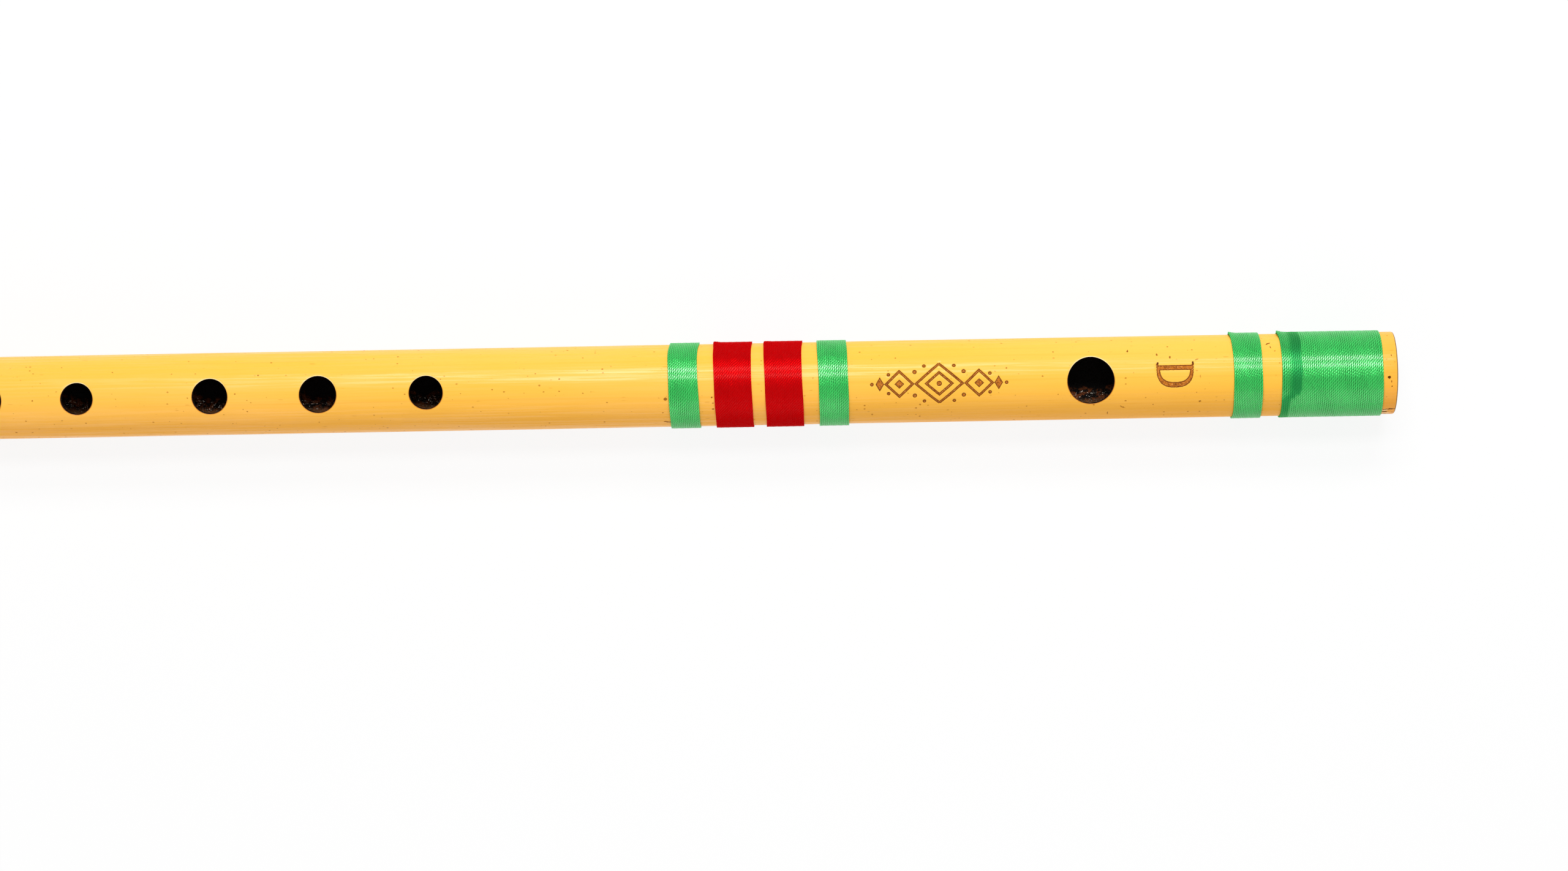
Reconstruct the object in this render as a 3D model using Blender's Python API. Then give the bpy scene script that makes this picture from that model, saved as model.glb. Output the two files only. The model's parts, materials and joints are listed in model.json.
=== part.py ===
"""A bansuri: a side-blown bamboo flute with thread bindings, in the scale of D.

The flute lies on a table along X, with its head towards +X and its holes facing +Z. The origin is
on the table, under the middle of its length. The tube is one internode of bamboo, bored through.
A cork closes the bore just past the blow hole, and can be pushed along to tune the octaves.
Coloured thread is wound round the tube in eight bindings, which keep the bamboo from splitting.
"""

import math

import bmesh
import bpy
import numpy as np
from mathutils import Matrix, Vector

MM = 0.001

# Tube
TUBE_DIAMETER = 20.0 * MM
TUBE_WALL = 2.2 * MM
RIM_ROUNDING = 0.4 * MM
RIM_POINTS = 4
TUBE_SIDES = 72

# Holes, each measured from the one before it, going from the head to the foot
HEAD_LENGTH = 73.9 * MM
BLOW_HOLE_DIAMETER = 11.2 * MM
FINGER_HOLE_STEPS = [160.0 * MM, 26.0 * MM, 26.0 * MM, 32.0 * MM, 23.0 * MM, 33.0 * MM]
FINGER_HOLE_DIAMETERS = [8.0 * MM, 8.8 * MM, 8.4 * MM, 7.6 * MM, 9.6 * MM, 8.4 * MM]
FOOT_LENGTH = 58.0 * MM
HOLE_SIDES = 28

# Cork stopper
STOPPER_LENGTH = 16.0 * MM
STOPPER_FROM_BLOW_HOLE = 15.6 * MM
STOPPER_CLEARANCE = 0.15 * MM
STOPPER_CHAMFER = 0.6 * MM
STOPPER_SIDES = 48

# Thread bindings
THREAD_THICKNESS = 0.36 * MM
THREAD_CLEARANCE = 0.08 * MM
LOOP_GAP = 0.42 * MM
LOOP_POINTS = 24
END_BARE = 3.5 * MM
END_BINDING = 24.4 * MM
END_LOOPS = 13
END_SPACE = 4.7 * MM
RING_BINDING = 6.9 * MM
RING_LOOPS = 3
MIDDLE_FROM_BLOW_HOLE = 58.4 * MM
GREEN_BINDING = 7.1 * MM
GREEN_LOOPS = 3
RED_BINDING = 9.0 * MM
RED_LOOPS = 4
GREEN_TO_RED = 3.9 * MM
RED_TO_RED = 3.2 * MM

# Places along the flute, worked out from the sizes above
TUBE_LENGTH = HEAD_LENGTH + sum(FINGER_HOLE_STEPS) + FOOT_LENGTH
HEAD_END = TUBE_LENGTH / 2
FOOT_END = -TUBE_LENGTH / 2
BLOW_HOLE = HEAD_END - HEAD_LENGTH
TUBE_RADIUS = TUBE_DIAMETER / 2
BORE_RADIUS = TUBE_RADIUS - TUBE_WALL
HALF_LOOP_STEP = math.pi / LOOP_POINTS
SAME_POINT = 0.001 * MM

# The bindings are the widest thing on the flute. Their flats touch the table.
FLAT_DEPTH = THREAD_THICKNESS / 10
BINDING_APOTHEM = TUBE_RADIUS + THREAD_CLEARANCE + THREAD_THICKNESS
AXIS_HEIGHT = BINDING_APOTHEM - FLAT_DEPTH


def clear_scene():
    for item in list(bpy.data.objects):
        bpy.data.objects.remove(item)


def material(name, colour, roughness, metallic=0.0):
    """A plain material of one colour."""
    made = bpy.data.materials.new(name)
    made.use_nodes = True
    shader = made.node_tree.nodes["Principled BSDF"]
    shader.inputs["Base Color"].default_value = (*colour, 1.0)
    shader.inputs["Roughness"].default_value = roughness
    shader.inputs["Metallic"].default_value = metallic
    made.diffuse_color = (*colour, 1.0)
    return made


def place(name, mesh, finish):
    """An object on the flute's axis, for a mesh modelled round the X axis."""
    mesh.materials.append(finish)
    made = bpy.data.objects.new(name, mesh)
    made.location.z = AXIS_HEIGHT
    bpy.context.scene.collection.objects.link(made)
    return made


def mesh_of(model, name):
    """Closes off a bmesh: outward faces, smooth where the surface is round."""
    bmesh.ops.recalc_face_normals(model, faces=model.faces)
    mesh = bpy.data.meshes.new(name)
    model.to_mesh(mesh)
    model.free()
    mesh.shade_smooth()
    mesh.set_sharp_from_angle(angle=math.radians(35))
    return mesh


def turned(name, outline, sides):
    """(along, radius) points, spun once round the X axis. An outline off the axis closes on itself."""
    model = bmesh.new()
    points = [model.verts.new((along, 0, radius)) for along, radius in outline]
    for first, second in zip(points, points[1:]):
        model.edges.new((first, second))
    if outline[0][1] > 0:
        model.edges.new((points[-1], points[0]))
    bmesh.ops.spin(
        model,
        geom=model.verts[:] + model.edges[:],
        cent=(0, 0, 0),
        axis=(1, 0, 0),
        angle=2 * math.pi,
        steps=sides,
        use_merge=True,
    )
    bmesh.ops.remove_doubles(model, verts=model.verts, dist=SAME_POINT)
    return mesh_of(model, name)


def rounded_corner(centre_along, centre_radius, start_angle):
    """A quarter circle of RIM_ROUNDING, as (along, radius) points."""
    angles = [start_angle + math.pi / 2 * step / (RIM_POINTS - 1) for step in range(RIM_POINTS)]
    return [
        (centre_along + RIM_ROUNDING * math.cos(a), centre_radius + RIM_ROUNDING * math.sin(a))
        for a in angles
    ]


def hole_centres():
    """The place along X of the blow hole and the six finger holes, with each one's diameter."""
    holes = [(BLOW_HOLE, BLOW_HOLE_DIAMETER)]
    along = BLOW_HOLE
    for step, diameter in zip(FINGER_HOLE_STEPS, FINGER_HOLE_DIAMETERS):
        along -= step
        holes.append((along, diameter))
    return holes


def drills():
    """One upright cylinder for each hole, from inside the bore to above the tube."""
    model = bmesh.new()
    for along, diameter in hole_centres():
        bmesh.ops.create_cone(
            model,
            cap_ends=True,
            segments=HOLE_SIDES,
            radius1=diameter / 2,
            radius2=diameter / 2,
            depth=2 * TUBE_RADIUS,
            matrix=Matrix.Translation((along, 0, TUBE_RADIUS)),
        )
    made = place("hole_drills", mesh_of(model, "hole_drills"), material("drill", (0.5, 0.5, 0.5), 0.5))
    made.hide_render = True
    made.display_type = "WIRE"
    return made


def bamboo_tube():
    """The bored internode, its rims rounded, with seven holes in line along its top."""
    inset = RIM_ROUNDING
    outline = []
    outline += rounded_corner(HEAD_END - inset, TUBE_RADIUS - inset, 0)
    outline += rounded_corner(FOOT_END + inset, TUBE_RADIUS - inset, math.pi / 2)
    outline += rounded_corner(FOOT_END + inset, BORE_RADIUS + inset, math.pi)
    outline += rounded_corner(HEAD_END - inset, BORE_RADIUS + inset, 1.5 * math.pi)
    bamboo = material("bamboo", (0.93, 0.60, 0.16), 0.35)
    tube = place("bamboo_tube", turned("bamboo_tube", outline, TUBE_SIDES), bamboo)
    cut = tube.modifiers.new("holes", "BOOLEAN")
    cut.operation = "DIFFERENCE"
    cut.solver = "EXACT"
    cut.object = drills()
    return tube


def cork_stopper():
    """A cork plug with chamfered ends. Its origin is on the flute's axis, along which it slides."""
    radius = BORE_RADIUS * math.cos(math.pi / TUBE_SIDES) - STOPPER_CLEARANCE
    end_radius = radius - STOPPER_CHAMFER
    half = STOPPER_LENGTH / 2
    shoulder = half - STOPPER_CHAMFER
    outline = [
        (-half, 0),
        (-half, end_radius),
        (-shoulder, radius),
        (shoulder, radius),
        (half, end_radius),
        (half, 0),
    ]
    cork = material("cork", (0.55, 0.34, 0.17), 0.9)
    stopper = place("cork_stopper", turned("cork_stopper", outline, STOPPER_SIDES), cork)
    stopper.location.x = BLOW_HOLE + STOPPER_FROM_BLOW_HOLE + half
    return stopper


def least_gap(points, sections):
    """The least distance between corners of the thread that are over half a loop apart along it."""
    least = math.inf
    rings = points.reshape(sections, -1, 3)
    for ring in range(len(rings) - LOOP_POINTS // 2):
        others = rings[ring + LOOP_POINTS // 2 + 1 :].reshape(-1, 3)
        if len(others) == 0:
            break
        away = others[None, :, :] - rings[ring][:, None, :]
        least = min(least, float(np.sqrt((away**2).sum(axis=2)).min()))
    return least


def binding(name, high_end, width, loops, finish):
    """One unbroken flat tube wound right-handed round the bamboo, over `width` along X.

    Real turns of this thread lie 0.45 mm apart and touch. A loop here stands for about three of
    them side by side, and leaves LOOP_GAP to the next loop.
    """
    tape = (width - loops * LOOP_GAP) / (loops + 1)
    pitch = tape + LOOP_GAP
    to_corner = 1 / math.cos(HALF_LOOP_STEP)
    inner = (TUBE_RADIUS + THREAD_CLEARANCE) * to_corner
    outer = BINDING_APOTHEM * to_corner
    low_end = high_end - width
    steps = loops * LOOP_POINTS
    model = bmesh.new()
    corners = [
        model.verts.new((low_end + along, 0, radius))
        for along, radius in ((0, inner), (tape, inner), (tape, outer), (0, outer))
    ]
    section = model.faces.new(corners)
    turn_to_flat = Matrix.Rotation(HALF_LOOP_STEP, 4, "X")
    bmesh.ops.transform(model, matrix=turn_to_flat, verts=corners)
    bmesh.ops.spin(
        model,
        geom=[section, *section.edges, *corners],
        cent=(0, 0, 0),
        axis=(1, 0, 0),
        dvec=Vector((pitch / LOOP_POINTS, 0, 0)),
        angle=2 * math.pi * loops,
        steps=steps,
    )
    # The flat that the flute lies on
    for corner in model.verts:
        corner.co.z = max(corner.co.z, -AXIS_HEIGHT)
    points = np.array([corner.co for corner in model.verts]) / MM
    print(f"{name}: {loops} loops, least gap to itself {least_gap(points, steps + 1):.2f} mm")
    return place(name, mesh_of(model, name), finish)


def end_bindings(green):
    """A wide binding at each end of the flute, with a narrow one beside it."""
    head_ring = HEAD_END - END_BARE - END_BINDING - END_SPACE
    foot_wide = FOOT_END + END_BARE + END_BINDING
    binding("head_end_binding", HEAD_END - END_BARE, END_BINDING, END_LOOPS, green)
    binding("head_ring_binding", head_ring, RING_BINDING, RING_LOOPS, green)
    binding("foot_end_binding", foot_wide, END_BINDING, END_LOOPS, green)
    binding("foot_ring_binding", foot_wide + END_SPACE + RING_BINDING, RING_BINDING, RING_LOOPS, green)


def middle_bindings(green, red):
    """Green, red, red and green bindings between the blow hole and the finger holes."""
    high_end = BLOW_HOLE - MIDDLE_FROM_BLOW_HOLE
    binding("middle_green_binding_head_side", high_end, GREEN_BINDING, GREEN_LOOPS, green)
    high_end -= GREEN_BINDING + GREEN_TO_RED
    binding("middle_red_binding_head_side", high_end, RED_BINDING, RED_LOOPS, red)
    high_end -= RED_BINDING + RED_TO_RED
    binding("middle_red_binding_foot_side", high_end, RED_BINDING, RED_LOOPS, red)
    high_end -= RED_BINDING + GREEN_TO_RED
    binding("middle_green_binding_foot_side", high_end, GREEN_BINDING, GREEN_LOOPS, green)


def main():
    clear_scene()
    green = material("green_thread", (0.05, 0.42, 0.12), 0.4)
    red = material("red_thread", (0.60, 0.01, 0.015), 0.4)
    bamboo_tube()
    cork_stopper()
    end_bindings(green)
    middle_bindings(green, red)
    print(f"tube {TUBE_LENGTH / MM:.1f} mm long, blow hole at {BLOW_HOLE / MM:.1f} mm")


main()
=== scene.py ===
"""The looks of a bansuri, a side-blown bamboo flute with thread bindings.

The flute lies along X with its head towards +X and its holes facing +Z. Lengths are in metres. A place on
the tube is given by its x, by its angle round the tube, which starts at the top and grows towards +Y, and
by its distance from the axis.
"""

import json
import math

import bpy
import numpy as np
from bpy.props import FloatProperty, FloatVectorProperty, PointerProperty
from mathutils import Matrix, Vector


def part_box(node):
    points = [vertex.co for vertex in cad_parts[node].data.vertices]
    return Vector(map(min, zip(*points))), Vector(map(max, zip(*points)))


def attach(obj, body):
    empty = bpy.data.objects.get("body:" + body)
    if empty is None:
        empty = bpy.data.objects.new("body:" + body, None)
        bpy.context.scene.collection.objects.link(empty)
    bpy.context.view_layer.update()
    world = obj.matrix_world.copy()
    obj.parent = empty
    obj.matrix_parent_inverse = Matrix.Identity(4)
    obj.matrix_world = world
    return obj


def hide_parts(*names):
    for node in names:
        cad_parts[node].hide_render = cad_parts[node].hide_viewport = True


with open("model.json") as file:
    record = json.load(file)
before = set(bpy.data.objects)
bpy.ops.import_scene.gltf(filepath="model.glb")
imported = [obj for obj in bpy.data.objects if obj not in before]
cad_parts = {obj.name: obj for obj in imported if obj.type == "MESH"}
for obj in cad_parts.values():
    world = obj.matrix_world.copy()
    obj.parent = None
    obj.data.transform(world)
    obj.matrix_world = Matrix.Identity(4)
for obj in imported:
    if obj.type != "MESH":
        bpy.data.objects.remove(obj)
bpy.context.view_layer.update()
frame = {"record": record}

bl_info = {
    "name": "Bansuri",
    "version": (1, 0, 0),
    "blender": (4, 5, 0),
    "location": "3D View > Sidebar > Bansuri",
    "description": "Builds a bamboo flute with burnt holes, burnt marks, thread bindings and a cork",
    "category": "Add Mesh",
}

MM = 0.001

# The frame gives the tube's outside, its axis and the reach of each piece
TUBE_LOW, TUBE_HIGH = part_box("bamboo_tube")
AXIS = (TUBE_LOW.z + TUBE_HIGH.z) / 2
TUBE_RADIUS = (TUBE_HIGH.z - TUBE_LOW.z) / 2
OPENINGS = {item["name"]: item["box_m"] for item in frame["record"]["physics"]["openings"]}
HOLE_NAMES = ["blow_hole", *(f"finger_hole_{number}" for number in range(1, 7))]

# How finely the tube is divided: its sides, its steps along X, how much finer a mark's grid is, how far a
# hole's block reaches past the hole, how many sides it spans to each side, and the steps round a rim. FAR,
# in mm, stands for every place that is too far from a mark or a hole to matter
SIDES = 96
SKIN_STEP = 1.7 * MM
BORE_STEP = 3.0 * MM
HOLE_STEP = 1.1 * MM
MARK_STEP = 0.65 * MM
MARK_SPLIT = 4
HOLE_MARGIN = 2.4 * MM
HOLE_SPAN = 16
RIM_ROWS = 4
FAR = 5.0

# Slots of the tube's materials
SKIN, RIM, BORE, SCORCHED = range(4)

# How the distance from a hole is changed below the axis. The shift spreads the bore's black under each hole
# towards +Y, over the part of the floor that lies in shade, so that the black is partly painted shadow
BELOW_SQUEEZE = 0.45
BELOW_SHIFT = 2.8 * MM
BELOW_GAP = 0.6 * MM

# Colours that the finishes mix with the ones a user sets, as linear values
FLECK_BROWN = (0.28, 0.06, 0.0)
SPOT_BROWN = (0.48, 0.13, 0.012)
# Painted highlight: the pale colour below paints the light caught in the chip at the head's lower edge
CHIP_HIGHLIGHT = (1.0, 0.68, 0.36)
# Painted shade: the tint below makes the skin darker and more orange on its -Y side, away from the main lamps
SHADED_SIDE_TINT = (1.0, 0.88, 0.84)
# The tint below makes the skin darker and more orange towards the head end
HEAD_END_TINT = (0.97, 0.8, 0.75)
# Painted highlight: the pale colour below lies on the +Y side of each hole's edge
HOLE_EDGE_HIGHLIGHT = (1.0, 0.86, 0.5)
BURN_STREAK = (0.84, 0.36, 0.09)
BUNDLE_BROWN = (0.2, 0.085, 0.03)
RIND_BROWN = (0.21, 0.08, 0.016)
LIP_BROWN = (0.16, 0.03, 0.008)
RESIN = (1.0, 0.92, 0.8)
PIT_BROWN = (0.07, 0.03, 0.012)

# How much of its red, green and blue the thread keeps where glue has soaked it
SOAKED = (0.3, 0.4, 0.62)

# The bamboo's long flecks and its short ones: the values of their node group, and how strongly they show
FLECKS = [
    ({"along": 400.0, "across": 2300.0, "amount": 0.04, "size": 0.36}, 0.3),
    ({"along": 1050.0, "across": 1400.0, "amount": 0.15, "size": 0.33}, 0.75),
]

# Each lamp: its name, its place from the middle of the view, its length and width, and where its power is set
LAMPS = [
    ("high_lamp", (0.1, 0.53, 1.04), (0.7, 0.19), "high_power"),
    ("low_lamp", (0.1, 0.84, 0.81), (0.7, 0.23), "low_power"),
    ("fill_lamp", (-0.2, -1.0, 0.5), (2.0, 1.0), "fill_power"),
]

# How much of the floor's look is its own glow, and how the camera is turned and moved across the flute
FLOOR_GLOW = 0.88
CAMERA_TILT = math.radians(4.26)
CAMERA_ROLL = math.radians(1.04)
CAMERA_Y = -12.6 * MM


def length_property(name, description, default):
    """A length that a user can set, in metres."""
    return FloatProperty(name=name, description=description, default=default, unit="LENGTH", precision=5)


def power_property(name, description, default):
    """A lamp's power that a user can set, in watts."""
    return FloatProperty(name=name, description=description, default=default, unit="POWER")


def colour_property(name, description, default):
    """A colour that a user can set."""
    return FloatVectorProperty(name=name, description=description, default=default, subtype="COLOR")


class BansuriSizes(bpy.types.PropertyGroup):
    """Sizes of the bamboo, its holes, its burnt marks, the thread and the cork."""

    wall: length_property("Wall", "Thickness of the bamboo", 2.2 * MM)
    rim: length_property("Rim", "Rounding of the tube's ends", 0.4 * MM)
    blow_hole: length_property("Blow hole", "Its diameter", 11.2 * MM)
    finger_holes: FloatVectorProperty(
        name="Finger holes",
        description="Their diameters, from the head to the foot",
        size=6,
        default=(8.0 * MM, 8.8 * MM, 8.4 * MM, 7.6 * MM, 9.6 * MM, 8.4 * MM),
        unit="LENGTH",
        precision=5,
    )
    hole_edge: length_property("Hole edge", "Rounding of the holes' edges", 0.3 * MM)
    waviness: length_property("Waviness", "How far the bamboo strays from round", 0.03 * MM)
    burn_depth: length_property("Burn depth", "Depth of the burnt marks", 0.12 * MM)
    thread_thickness: length_property("Thread thickness", "How thick the wound thread is", 0.4 * MM)
    ply_length: length_property("Ply length", "Length of one twist of the thread", 1.62 * MM)
    cork_pits: length_property("Cork pits", "Depth of the cork's pits", 0.12 * MM)


class BansuriColours(bpy.types.PropertyGroup):
    """Colours of the finishes, as linear values."""

    skin: colour_property("Bamboo", "Skin of the bamboo", (0.97, 0.522, 0.064))
    pith: colour_property("Pith", "Cut ends of the bamboo", (0.72, 0.45, 0.16))
    bore: colour_property("Bore", "Oiled inside of the bamboo", (0.24, 0.11, 0.04))
    char: colour_property("Char", "Burnt walls of the holes", (0.012, 0.007, 0.005))
    burn: colour_property("Burn", "Floor of the burnt marks", (0.56, 0.175, 0.02))
    burn_edge: colour_property("Burn edge", "Outline of the burnt marks", (0.17, 0.045, 0.012))
    green: colour_property("Green thread", "Dry green thread", (0.006, 0.45, 0.064))
    red: colour_property("Red thread", "Dry red thread", (0.47, 0.001, 0.002))
    green_gloss: colour_property("Green gloss", "Tint of the green thread's shine", (0.65, 1.0, 0.62))
    red_gloss: colour_property("Red gloss", "Tint of the red thread's shine", (1.0, 0.12, 0.12))
    cork: colour_property("Cork", "Raw cork", (0.5, 0.29, 0.13))


class BansuriStage(bpy.types.PropertyGroup):
    """The floor, the lamps and the camera."""

    floor_size: length_property("Floor", "Width of the white floor", 6.0)
    surround: FloatProperty(name="Surround", description="Brightness of the white surroundings", default=0.31)
    high_power: power_property("High lamp", "Power of the upper long lamp", 5.8)
    low_power: power_property("Low lamp", "Power of the lower long lamp", 7.3)
    fill_power: power_property("Fill lamp", "Power of the weak lamp opposite", 5.6)
    lens: FloatProperty(
        name="Lens", description="Focal length, on a sensor 36 mm wide", default=100.0, unit="CAMERA"
    )
    camera_x: length_property("Camera along", "The camera's place along the flute", 68.0 * MM)
    camera_distance: length_property("Camera distance", "The camera's height over the axis", 1.055)


def key_mark(along, across):
    """Signed distance in mm to the key mark, a letter D lying on its back with its stem to +Y.

    The stem is a bar. The bow is the space between two superellipses, (|a|/w)^n + (|b|/h)^n = 1, cut off
    at the stem. A small lozenge stands up from each end of the stem.
    """
    half_width, depth, stroke, stem, power = 4.45, 4.75, 1.3, 1.2, 2.6
    stem_top, bow_top, bow_middle = 2.3, 1.9, 1.6
    stem_bar = np.maximum(np.abs(along) - half_width, np.abs(across + stem / 2 - stem_top) - stem / 2)

    def superellipse(width, height):
        powers = np.abs(along / width) ** power + np.abs((across - bow_middle) / height) ** power
        return (powers ** (1 / power) - 1) * height

    inside = superellipse(half_width - stroke * 0.62, depth - stroke)
    bow = np.maximum.reduce([superellipse(half_width, depth), -inside, across - bow_top])
    serifs = lozenge(np.abs(along) - half_width + 0.15, across - stem_top, 0.32, 0.75)
    return np.minimum.reduce([stem_bar, bow, serifs])


def lozenge(along, across, half_width, half_height):
    """Signed distance to a lozenge: |a|/w + |b|/h - 1, brought to mm by the slope of its sides."""
    slope = half_width * half_height / math.hypot(half_width, half_height)
    return (np.abs(along) / half_width + np.abs(across) / half_height - 1) * slope


def ornament(along, across):
    """Signed distance in mm to the ornament: a chain of outlined lozenges with dots, the same both ways."""
    stroke = 0.58
    side = np.abs(along)

    def outline(centre, half_width, half_height):
        return np.abs(lozenge(side - centre, across, half_width, half_height)) - stroke / 2

    def dot(centre_along, centre_across, radius):
        return np.hypot(side - centre_along, np.abs(across) - centre_across) - radius

    parts = [
        outline(0, 5.6, 4.9),
        outline(0, 3.1, 2.7),
        dot(0, 0, 0.62),
        outline(9.6, 3.2, 3.1),
        lozenge(side - 9.6, across, 1.15, 1.1),
        lozenge(side - 14.3, across, 1.0, 1.7),
        dot(5.9, 2.9, 0.5),
        dot(12.2, 2.3, 0.42),
        dot(16.2, 0, 0.42),
        dot(3.6, 4.4, 0.42),
    ]
    return np.minimum.reduce(parts)


# Each burnt mark: its distance function, its place from the blow hole along X and round the tube, and the
# half length and the columns of the block that it takes out of the skin
MARKS = [
    (key_mark, 20.25 * MM, 1.13 * MM, 5.2 * MM, (-5, 8)),
    (ornament, -36.5 * MM, 0.0, 17.55 * MM, (-9, 9)),
]

# Spots on the bamboo that catch the eye: x from the blow hole, y, length and width in mm, lean in degrees,
# and darkness, which is negative for a pale stroke of painted highlight on the chip at the head's lower edge
SPOTS_AND_HIGHLIGHTS = [
    (71.75, -0.45, 0.8, 0.75, 0, 0.9),
    (72.3, -1.5, 0.25, 0.6, 0, 0.5),
    (72.4, -2.7, 0.35, 0.4, 0, 0.75),
    (72.4, 4.7, 0.35, 0.35, 0, 0.65),
    (72.2, -8.45, 3.0, 0.28, 4, 0.75),
    (70.9, -9.15, 2.6, 0.22, 0, 0.95),
    (70.4, -9.85, 5.4, 0.16, 0, 0.85),
    (70.9, -8.8, 2.0, 0.3, 3, -0.7),
    (71.7, -9.5, 3.0, 0.26, 0, -0.7),
    (43.0, 7.9, 1.3, 0.25, 20, 0.65),
    (43.5, 7.1, 0.3, 0.6, 25, 0.6),
    (-102.4, -2.6, 0.9, 0.7, 0, 0.6),
    (-102.0, -8.4, 2.0, 0.3, -8, 0.6),
    (-91.3, -2.4, 0.5, 0.4, 0, 0.65),
    (-91.0, -5.3, 0.7, 0.35, 0, 0.65),
    (-91.0, -3.8, 0.35, 0.3, 0, 0.5),
    (16.1, 3.75, 0.5, 0.75, -25, 0.97),
    (24.6, 3.85, 0.45, 0.7, 20, 0.97),
    (16.0, 5.9, 0.35, 0.55, 0, 0.6),
    (19.1, 5.25, 0.45, 0.5, -30, 0.65),
    (25.5, 4.6, 0.9, 0.25, 20, 0.5),
    (26.3, 0.6, 0.2, 0.7, 0, 0.5),
    (9.0, 6.8, 0.35, 0.5, -20, 0.7),
    (26.3, -5.5, 0.6, 0.3, 15, 0.6),
    (7.7, -6.6, 1.4, 0.3, -25, 0.45),
    (4.1, -8.1, 0.25, 0.7, 0, 0.6),
]


def holes(sizes):
    """(x, radius) of the blow hole and the finger holes."""
    diameters = [sizes.blow_hole, *sizes.finger_holes]
    middles = [(OPENINGS[name][0][0] + OPENINGS[name][1][0]) / 2 for name in HOLE_NAMES]
    return [(middle, diameter / 2) for middle, diameter in zip(middles, diameters)]


def on_tube(x, angle, radius):
    """Points of a round tube: (x, r sin a, axis + r cos a)."""
    x, angle, radius = np.broadcast_arrays(x, angle, radius)
    return np.stack([x, radius * np.sin(angle), AXIS + radius * np.cos(angle)], axis=-1)


def eased(share):
    """A share held between 0 and 1 and eased at both ends: 3 s^2 - 2 s^3."""
    share = np.clip(share, 0, 1)
    return share * share * (3 - 2 * share)


def numbered(shape, first=0):
    """Point numbers for a lattice of this shape, row by row from `first`."""
    return np.arange(first, first + math.prod(shape)).reshape(shape)


def quads(index, wrap_first=False, wrap_second=False):
    """Four-cornered faces between neighbours in a lattice of point numbers."""
    if wrap_first:
        index = np.concatenate([index, index[:1]])
    if wrap_second:
        index = np.concatenate([index, index[:, :1]], axis=1)
    corners = [index[:-1, :-1], index[1:, :-1], index[1:, 1:], index[:-1, 1:]]
    return np.stack(corners, axis=-1).reshape(-1, 4)


def make_piece(name, points, faces, materials, slots=None, values=None, uv=None):
    """A mesh object from arrays. Points that no face uses are dropped.

    `faces` is a list of arrays, one for each count of corners. `slots` gives each face's material,
    `values` named numbers for each point, and `uv` a pair for each face's corner.
    """
    corners = np.concatenate([part.ravel() for part in faces])
    used, renumbered = np.unique(corners, return_inverse=True)
    counts = np.concatenate([np.full(len(part), part.shape[1]) for part in faces])
    mesh = bpy.data.meshes.new(name)
    mesh.vertices.add(len(used))
    mesh.vertices.foreach_set("co", points[used].astype(np.float32).ravel())
    mesh.loops.add(len(corners))
    mesh.loops.foreach_set("vertex_index", renumbered.ravel().astype(np.int32))
    mesh.polygons.add(len(counts))
    starts = np.concatenate([[0], np.cumsum(counts)[:-1]])
    mesh.polygons.foreach_set("loop_start", starts.astype(np.int32))
    if slots is not None:
        mesh.polygons.foreach_set("material_index", slots.astype(np.int32))
    for key, numbers in (values or {}).items():
        mesh.attributes.new(key, "FLOAT", "POINT").data.foreach_set("value", numbers[used].astype(np.float32))
    if uv is not None:
        mesh.uv_layers.new(name="thread").data.foreach_set("uv", uv.astype(np.float32).ravel())
    for item in materials:
        mesh.materials.append(item)
    mesh.update(calc_edges=True)
    mesh.shade_smooth()
    if mesh.validate():
        raise RuntimeError(f"{name} has broken faces")
    made = bpy.data.objects.new(name, mesh)
    bpy.context.scene.collection.objects.link(made)
    return made


def lines_between(low, high, blocks, step):
    """Places from low to high, `step` apart, but closer inside each (low, high, step) block."""
    stops = sorted({low, high, *(x for block in blocks for x in block[:2])})
    lines = [np.array([low])]
    for first, last in zip(stops, stops[1:]):
        inside = [block[2] for block in blocks if block[0] < (first + last) / 2 < block[1]]
        count = max(1, round((last - first) / min(inside, default=step)))
        lines.append(np.linspace(first, last, count + 1)[1:])
    return np.concatenate(lines)


def rim_rows(end, side, outer, bore, rounding):
    """(x, radius) rows over one end of the tube: a quarter circle, a flat ring and a quarter circle."""
    turn = np.linspace(0, math.pi / 2, RIM_ROWS + 1)
    drop, step = rounding * (1 - np.cos(turn)), rounding * (1 - np.sin(turn))
    flat = np.linspace(outer - rounding, bore + rounding, 6)[1:-1]
    x = np.concatenate([end - side * step[1:], np.full(len(flat), end), end - side * step[:0:-1]])
    radius = np.concatenate([outer - drop[1:], flat, bore + drop[:0:-1]])
    return x, radius


def loop_round(index, rows, columns):
    """The point numbers round a block of the lattice, going along +X first, on its -Y side."""
    columns = np.asarray(columns) % SIDES
    return np.concatenate([
        index[rows[:-1], columns[0]],
        index[rows[-1], columns[:-1]],
        index[rows[:0:-1], columns[-1]],
        index[rows[0], columns[:0:-1]],
    ])


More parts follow.
